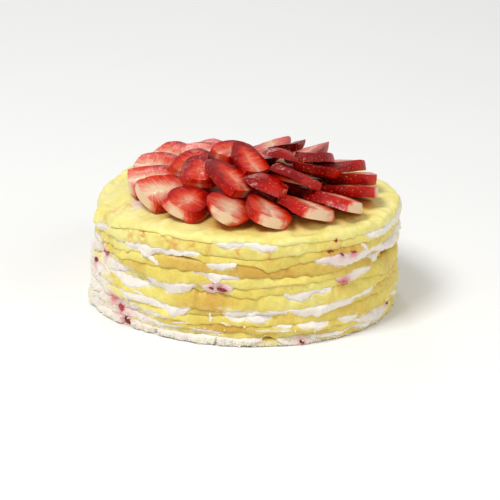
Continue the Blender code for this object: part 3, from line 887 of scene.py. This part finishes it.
def crumb_material():
    """Crumbs of cream, off-white, and flecks of crepe, pale yellow, all dry and matt."""
    made, tree, shader, _ = new_material("cream and crepe crumbs")
    stops = ((0, "#F3EDE4"), (0.75, "#F0E8D6"), (0.88, "#EDE0B0"), (1, "#E9D78F"))
    colour = add_node(tree, "ValToRGB", {}, {"Fac": read(tree, "crust")}, stops)
    dry = {"Roughness": 0.6, "Subsurface Weight": 0.2, "Subsurface Scale": 0.8 * MM}
    fill_sockets(tree, shader, dry, {"Base Color": colour})
    return made


hand_over(crumbs, crumb_material(), "cream")

# ------------------------------------------------------------
# Strawberry slices
# Fresh strawberries with their leafy end cut off, sliced lengthwise and brushed with a thin glaze. A slice
# has wet cut faces, a flat end that is pale on many, and dark red skin set with seeds along its sides.
# ------------------------------------------------------------
SIDE_POINTS = 52  # along each side of a slice
END_POINTS = 14  # across its flat end
FACE_STEPS = 14
SKIN_STEPS = 14
WIDEST_AT = 0.25  # share of the length, from the flat end
FLAT_END = 0.88  # of the greatest width
END_BULGE = 0.06  # of the length
CORE_HOLLOW = 0.9 * MM  # how far a cut face sinks along the berry's core
SLICE_SEED = 33
SEED_SPACING = 3.6 * MM
DIMPLE_DEPTH, DIMPLE_WIDTH = 0.35 * MM, 0.9 * MM
CORE_FROM, CORE_TO = 0.12, 0.72  # shares of the length
CORE_HOLLOW_WIDTH = 3.5  # mm
SOFTNESS, SOFT_PUSH = 11 * MM, 1.4 * MM  # how unevenly a soft berry lies
DROOP, TWIST = (0.3, 1.4), 1  # mm that its ends hang, least and most, and mm that a corner twists at most
SKEWED = 0.06  # mm to the side for each mm along, at most
# How far from the berry's middle a slice is cut, as a share of its radius: mostly, and where it differs.
# Above DOMED_FROM it is a domed end slice, mostly skin.
USUAL_CUTS = (-0.12, 0, 0.1, 0.25)
CUT_AT = {"slice_outer_10": 0.3, "slice_middle_06": 0.62, "slice_inner_04": 0.66}
DOMED_FROM = 0.6
# How pale the flesh of each ring and its flat ends are, and the flesh of the slices that differ
PALE_RING = {"outer": 0.18, "lower": 0.0, "middle": 0.12, "inner": 0.14}
PALE_END = {"outer": 1, "lower": 0, "middle": 0.1, "inner": 0}
PALE_SLICE = {
    "slice_outer_04": 0.34,
    "slice_outer_05": 0.62,
    "slice_outer_06": 0.15,
    "slice_outer_07": 0.48,
    "slice_outer_08": 0.46,
    "slice_outer_09": 0.5,
    "slice_outer_10": 0.8,
    "slice_middle_01": 0.4,
    "slice_middle_02": 0.34,
}


def slice_frame(node):
    """Where a CAD slice lies, X from flat end to tip and Z up, its size, and if its larger side is up."""
    spots = np.unique(np.round([vert.co for vert in frame["nodes"][node].data.vertices], 7), axis=0)
    middle = spots.mean(axis=0)
    axes = np.linalg.eigh(np.cov((spots - middle).T))[1]
    along, up = axes[:, 2], axes[:, 0] * np.sign(axes[2, 0])
    across = np.cross(up, along)
    reach, spread = (spots - middle) @ along, np.abs((spots - middle) @ across)
    if spread[reach < reach.min() + 2 * MM].max() < spread[reach > reach.max() - 2 * MM].max():
        along, across = -along, -across
    turned = np.array([along, across, up])
    local = (spots - middle) @ turned.T
    low, high = local.min(axis=0), local.max(axis=0)
    upper = local[:, 2] > (low[2] + high[2]) / 2
    larger_up = np.abs(local[upper, 1]).max() > np.abs(local[~upper, 1]).max()
    matrix = np.eye(4)
    matrix[:3, :3] = turned.T
    matrix[:3, 3] = middle + turned.T @ np.array([low[0], (low[1] + high[1]) / 2, (low[2] + high[2]) / 2])
    return matrix, high - low, larger_up


def berry_radius(along, widest, flat_end, point):
    """A berry's radius as a share of its greatest, along 0 to 1 from its flat end to its tip."""
    to_flat = np.clip((widest - along) / widest, 0, 1)
    to_tip = np.clip((along - widest) / (1 - widest), 0, 1)
    return np.sqrt(1 - (1 - flat_end**2) * to_flat**2) * (1 - to_tip**point) ** 0.75


def slice_ring(shape, level, length, radius):
    """The outline of a berry's cut at a level off its middle, from the tip round past the flat end."""
    shares = np.linspace(0, 1, 400)
    reach = shares[berry_radius(shares, *shape) > level * 1.0001 + 0.02].max()
    share = reach * (1 - np.linspace(0, 1, SIDE_POINTS) ** 1.35)
    half = np.sqrt(np.clip(berry_radius(share, *shape) ** 2 - level**2, 0, None))
    half[0] = 0
    end = np.cos(np.linspace(0, math.pi, END_POINTS + 2)[1:-1])
    bulge = END_BULGE * (1 - end**2)
    along = np.concatenate([share, -bulge, share[::-1]])
    across = np.concatenate([half, half[-1] * end, -half[::-1]])
    return along * length, across * radius


def face_rows(ring, length, skew, shares):
    """Rows of points over a cut face, from the line of the berry's core out to the ring round the face."""
    spine = ring.copy()
    spine[:, 0] = np.clip(ring[:, 0], length * CORE_FROM, length * CORE_TO)
    spine[:, 1] = skew * spine[:, 0]
    rows = [spine + (ring - spine) * share for share in shares]
    closed = int(np.argmin(shares))
    rows[closed] = np.broadcast_to(rows[closed].mean(axis=0), ring.shape)
    return rows


def slice_piece(name, node, draw):
    """A slice of a round berry between two flat cuts, with the spots of its seeds."""
    matrix, (length, width, thickness), larger_up = slice_frame(node)
    cut = CUT_AT.get(node, draw.choice(USUAL_CUTS))
    domed = cut > DOMED_FROM
    radius = width / 2 / math.sqrt(1 - max(cut, 0) ** 2)
    widest, flat_end = WIDEST_AT + draw.uniform(-0.05, 0.06), FLAT_END + draw.uniform(-0.1, 0.06)
    shape = widest, flat_end, draw.uniform(1.8, 2.5)
    last = min(cut + thickness / radius, 0.97)
    steps = np.linspace(0, 1, SKIN_STEPS + 1)
    levels = cut + (last - cut) * (np.sin(steps * math.pi / 2) if domed else steps)
    skew = draw.uniform(-SKEWED, SKEWED)
    rings = []
    for level in levels:
        x, y = slice_ring(shape, abs(level), length, radius)
        z = (level - cut) / (last - cut) - 0.5
        rings.append(np.stack([x, y + skew * x, np.full(len(x), z * thickness)], axis=-1))
    shares = np.linspace(0, 0.985, FACE_STEPS)
    first_face = face_rows(rings[0], length, skew, shares)
    points = np.array([*first_face, *rings, *face_rows(rings[-1], length, skew, shares[::-1])])
    skin = np.zeros(points.shape[:2])
    skin[FACE_STEPS:-FACE_STEPS] = 1
    if domed:
        skin[-FACE_STEPS:] = 1
    end = slice(SIDE_POINTS, SIDE_POINTS + END_POINTS)
    skin[:, end] = 0
    end_pale = np.zeros(points.shape[:2])
    across_end = np.linspace(-1, 1, END_POINTS + 2)[1:-1]
    paler_inside = (1 - np.abs(across_end) ** 3) * (0.75 + 0.25 * np.sin(math.pi * steps))[:, None]
    end_pale[FACE_STEPS:-FACE_STEPS, end] = paler_inside
    depth = np.zeros(points.shape[:2])
    for index, row in enumerate(points):
        ring = rings[0] if index < FACE_STEPS + SKIN_STEPS / 2 else rings[-1]
        outline = np.delete(ring, np.r_[end], axis=0)[:, :2]
        depth[index] = np.linalg.norm(row[:, None, :2] - outline[None], axis=2).min(axis=1) / MM
    hollow = CORE_HOLLOW * np.exp(-(((depth.max() - depth) / CORE_HOLLOW_WIDTH) ** 2))
    points[:FACE_STEPS, :, 2] += hollow[:FACE_STEPS]
    if not domed:
        points[-FACE_STEPS:, :, 2] -= hollow[-FACE_STEPS:]
    lengthwise = points[:, :, 0] / length
    around = np.broadcast_to(np.linspace(0, 90, points.shape[1]), points.shape[:2])
    if larger_up and not domed:
        points[:, :, 2] *= -1
    droop = draw.uniform(*DROOP) * MM
    twist = draw.uniform(-TWIST, TWIST) * MM
    points[:, :, 2] += droop / 2 - droop * ((lengthwise - 0.5) * 2) ** 2
    points[:, :, 2] += twist * (lengthwise - 0.5) * points[:, :, 1] / (width / 4)
    points = points @ matrix[:3, :3].T + matrix[:3, 3]
    middle = points.mean(axis=(0, 1))
    rows = slice(FACE_STEPS, -1 if domed else -FACE_STEPS)
    spots, normals = seed_places(points[rows], skin[rows], middle, draw)
    for spot, normal in zip(spots, normals):
        away = np.linalg.norm(points - spot, axis=2)
        points -= DIMPLE_DEPTH * np.exp(-((away / DIMPLE_WIDTH) ** 2))[..., None] * normal
    ring_name = node.split("_")[1]
    pale = PALE_SLICE.get(node, PALE_RING[ring_name] + draw.uniform(-0.1, 0.1))
    values = {"depth": depth, "skin": skin, "lengthwise": lengthwise, "around": around, "pale": pale}
    piece = rolled(name, points, {**values, "flat_end": end_pale * PALE_END[ring_name]})
    bpy.ops.object.shade_smooth_by_angle(angle=math.radians(50))
    displace(piece, "COLOR", SOFTNESS, SOFT_PUSH)
    tip_way = Vector(matrix[:3, 0])
    return piece, [(Vector(spot), Vector(normal), tip_way) for spot, normal in zip(spots, normals)]


def seed_places(points, skin, middle, draw):
    """Spots over the skin, none of them close to another, and which way the skin faces there."""
    normals = np.cross(np.gradient(points, axis=1), np.gradient(points, axis=0))
    normals /= np.linalg.norm(normals, axis=2)[..., None] + 1e-12
    normals *= np.sign(np.sum(normals * (points - middle), axis=2))[..., None]
    inside = skin > 0.5
    inside[[0, 1, -2, -1]] = False
    candidates, facing = points[inside], normals[inside]
    chosen = []
    for index in draw.permutation(len(candidates)):
        away = [np.linalg.norm(candidates[index] - candidates[other]) for other in chosen]
        if min(away, default=1) > SEED_SPACING:
            chosen.append(index)
    return candidates[chosen], facing[chosen]


def strawberry_material():
    """Ripe strawberry, wet with glaze: dark red skin, bright flesh, pale at its core and its flat end."""
    made, tree, shader, place = new_material("glazed strawberry")
    depth, lengthwise, flat_end = read(tree, "depth"), read(tree, "lengthwise"), read(tree, "flat_end")
    # Pale veins run in from the skin
    stretched = add_node(tree, "CombineXYZ", {"Z": 0}, {"X": read(tree, "around"), "Y": depth})
    stretched = add_node(tree, "VectorMath", {1: (0.9, 0.1, 1)}, {0: stretched}, operation="MULTIPLY")
    veins = add_node(tree, "TexNoise", {"Scale": 1, "Detail": 3}, {"Vector": stretched})
    veins = add_node(tree, "Math", {1: 0.5}, {0: veins}, operation="SUBTRACT")
    cloud = add_node(tree, "TexNoise", {"Scale": 1 / (7 * MM), "Detail": 3}, {"Vector": place})
    cloud = add_node(tree, "Math", {1: 0.5}, {0: cloud}, operation="SUBTRACT")
    uneven_end = add_node(tree, "Math", {1: 1.3}, {0: cloud, 2: flat_end}, operation="MULTIPLY_ADD")
    uneven_end = add_node(tree, "Math", {}, {0: uneven_end, 1: flat_end}, operation="MULTIPLY")
    paler_to_end = {"From Min": 0, "From Max": 0.8, "To Min": 0.02, "To Max": -0.28}
    tone = add_node(tree, "MapRange", paler_to_end, {"Value": lengthwise})
    weights = ((depth, 0.06), (veins, 0.95), (cloud, 0.5), (read(tree, "pale"), 0.5), (uneven_end, 0.5))
    for part, weight in weights:
        tone = add_node(tree, "Math", {1: weight}, {0: part, 2: tone}, operation="MULTIPLY_ADD")
    stops = ((0, "#8A0403"), (0.16, "#BE1204"), (0.34, "#D43410"), (0.5, "#D65636"), (0.74, "#E0917A"))
    flesh = add_node(tree, "ValToRGB", {}, {"Fac": tone}, (*stops, (1, "#E8C6A0")))
    shade = add_node(tree, "Math", {1: 0.9, 2: 0.25}, {0: cloud}, operation="MULTIPLY_ADD")
    shade = add_node(tree, "Math", {1: 0.8}, {0: lengthwise, 2: shade}, operation="MULTIPLY_ADD")
    stops = ((0.05, "#D93010"), (0.3, "#BC1408"), (0.75, "#860505"))
    skin = add_node(tree, "ValToRGB", {}, {"Fac": shade}, stops)
    links = {"Factor": read(tree, "skin"), "A": flesh, "B": skin}
    colour = add_node(tree, "Mix", {}, links, data_type="RGBA")
    grain = add_node(tree, "TexNoise", {"Scale": 1 / (1.1 * MM), "Detail": 3}, {"Vector": place})
    bump = add_node(tree, "Bump", {"Strength": 0.4, "Distance": 0.35 * MM}, {"Height": grain})
    # The glaze lies over it in an uneven film that breaks up its highlights
    drops = {"Scale": 1 / (2.6 * MM), "Detail": 3, "Distortion": 1}
    drops = add_node(tree, "TexNoise", drops, {"Vector": place})
    film = add_node(tree, "Bump", {"Strength": 0.7, "Distance": 0.7 * MM}, {"Height": drops})
    wet = {"Roughness": 0.35, "Specular IOR Level": 0.1, "Coat Weight": 0.5, "Coat Roughness": 0.05}
    juicy = {"Subsurface Weight": 0.12, "Subsurface Radius": (1, 0.2, 0.12), "Subsurface Scale": 2 * MM}
    links = {"Base Color": colour.outputs["Result"], "Normal": bump, "Coat Normal": film}
    fill_sockets(tree, shader, {**wet, **juicy}, links)
    return made


berry_finish = strawberry_material()
seed_spots = []
for number, node in enumerate(sorted(node for node in frame["nodes"] if node.startswith("slice"))):
    piece, spots = slice_piece(f"strawberry_{node}", node, np.random.default_rng(SLICE_SEED + number))
    hand_over(piece, berry_finish, "strawberry", node)
    seed_spots.extend(spots)

# ------------------------------------------------------------
# Glaze
# Strawberry juice thickened with sugar, brushed over the slices. It has run down between them and stands
# on the top crepe as a dark red pool. That pool's very dark red is also painted shade in the gaps between
# the slices.
# ------------------------------------------------------------
POOL_RADIUS = 53 * MM
POOL_DEPTH = 3.2 * MM
POOL_SUNK = 2.5 * MM  # into the top crepe
POOL_WAVE, POOL_PUSH = 8 * MM, 2.5 * MM  # how uneven it is
POOL_RIM_UNEVEN = 3 * MM
POOL_ROWS = 16
POOL_SEED = 3

pool_rim = POOL_RADIUS + POOL_RIM_UNEVEN * waves(np.random.default_rng(POOL_SEED), 3, 14)
pool_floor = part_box("crepe_12")[1][2] - POOL_SUNK
shares = np.sin(np.linspace(0, math.pi / 2, POOL_ROWS))[:, None]
radii = pool_rim * shares
domed = pool_floor + POOL_SUNK + POOL_DEPTH * (1 - shares**4) + 0 * radii
pool_radii = np.concatenate([radii, radii[::-1]])
pool_heights = np.concatenate([pool_floor + 0 * radii, domed[::-1]])
pool_points = from_polar(pool_radii, pool_heights) + np.array(ROSETTE_CENTRE)
pool = rolled("strawberry_glaze_pool", pool_points)
displace(pool, "COLOR", POOL_WAVE, POOL_PUSH)
# Glaze made of strawberry juice, set: smooth and shiny, and too dark a red to see through where it is thick.
# That dark red also stands in as painted shade in the gaps between the slices
glaze, tree, shader, place = new_material("strawberry glaze and painted shade")
thickness = add_node(tree, "TexNoise", {"Scale": 1 / (9 * MM), "Detail": 3}, {"Vector": place})
thickness = add_node(tree, "ValToRGB", {}, {"Fac": thickness}, ((0.35, "#560203"), (0.65, "#900A06")))
fill_sockets(tree, shader, {"Roughness": 0.18}, {"Base Color": thickness})
hand_over(pool, glaze, "strawberry")

# ------------------------------------------------------------
# Strawberry seeds
# Small hard seeds that sit all over a strawberry's skin, each in a dimple of its own with its longer side
# towards the berry's tip. A slice keeps those on its strip of skin.
# ------------------------------------------------------------
SEED_SIZE = Vector((0.55, 0.33, 0.24)) * MM

seed_mesh = bmesh.new()
for spot, normal, along in seed_spots:
    level = (along - normal * along.dot(normal)).normalized()
    turned = Matrix((level, normal.cross(level), normal)).transposed().to_4x4()
    placed = Matrix.Translation(spot - normal * DIMPLE_DEPTH) @ turned @ Matrix.Diagonal((*SEED_SIZE, 1))
    bmesh.ops.create_icosphere(seed_mesh, subdivisions=2, radius=1, matrix=placed)
seeds = scattered(seed_mesh, "strawberry_seeds")
# The seeds' husks: smooth and hard, straw-coloured to reddish brown under the glaze
seed_coat, tree, shader, place = new_material("strawberry seed")
husk = add_node(tree, "TexNoise", {"Scale": 1 / (4 * MM)}, {"Vector": place})
husk = add_node(tree, "ValToRGB", {}, {"Fac": husk}, ((0.35, "#A23B1C"), (0.65, "#D08A42")))
fill_sockets(tree, shader, {"Roughness": 0.3}, {"Base Color": husk})
hand_over(seeds, seed_coat, "strawberry")

# ------------------------------------------------------------
# Studio
# The cake stands on seamless white paper. A softbox stands high at its front left, a larger and weaker one
# at its front right, and a small lamp behind it. The camera looks down a little on its front.
# ------------------------------------------------------------
CAMERA_PLACE = Vector((3.6, -2403.3, 857.5)) * MM
CAMERA_AIM = Vector((3.2, -12.4, 37.85)) * MM
CAMERA_ROLL = math.radians(1.64)
CAMERA_LENS = 257.5

bpy.ops.object.select_all(action="DESELECT")
bpy.ops.mesh.primitive_plane_add(size=8)
floor = bpy.context.object
floor.name = "studio_floor"
# Seamless white paper: matt, and a little uneven in tone
paper, tree, shader, place = new_material("white paper backdrop")
tone = add_node(tree, "TexNoise", {"Scale": 1 / (400 * MM)}, {"Vector": place})
tone = add_node(tree, "ValToRGB", {}, {"Fac": tone}, ((0.3, "#F4F4F2"), (0.7, "#F6F6F4")))
fill_sockets(tree, shader, {"Roughness": 0.9}, {"Base Color": tone})
floor.data.materials.append(paper)


def soft_light(name, place, size, power):
    """A large square lamp aimed at the cake."""
    bpy.ops.object.light_add(type="AREA", location=place)
    lamp = bpy.context.object
    lamp.name = name
    lamp.data.size = size
    lamp.data.energy = power
    lamp.rotation_euler = (Vector((0, 0, 50 * MM)) - Vector(place)).to_track_quat("-Z", "Y").to_euler()


soft_light("key_softbox", (-0.8, -0.9, 1.9), 0.8, 33)
soft_light("fill_softbox", (1.4, -0.9, 1.2), 1.2, 9)
soft_light("back_lamp", (-0.3, 1.7, 1.2), 0.3, 4)
world = bpy.data.worlds.new("studio air")
world.use_nodes = True
air = world.node_tree.nodes["Background"]
fill_sockets(world.node_tree, air, {"Color": (1, 1, 1, 1), "Strength": 0.42}, {})
bpy.context.scene.world = world
bpy.context.scene.view_settings.view_transform = "Standard"

bpy.ops.object.camera_add(location=CAMERA_PLACE)
camera = bpy.context.object
aimed = (CAMERA_AIM - CAMERA_PLACE).to_track_quat("-Z", "Y").to_matrix().to_4x4()
camera.matrix_world = Matrix.Translation(CAMERA_PLACE) @ aimed @ Matrix.Rotation(CAMERA_ROLL, 4, "Z")
camera.data.lens = CAMERA_LENS
camera.data.sensor_width = 36
camera.data.clip_end = 20
bpy.context.scene.camera = camera
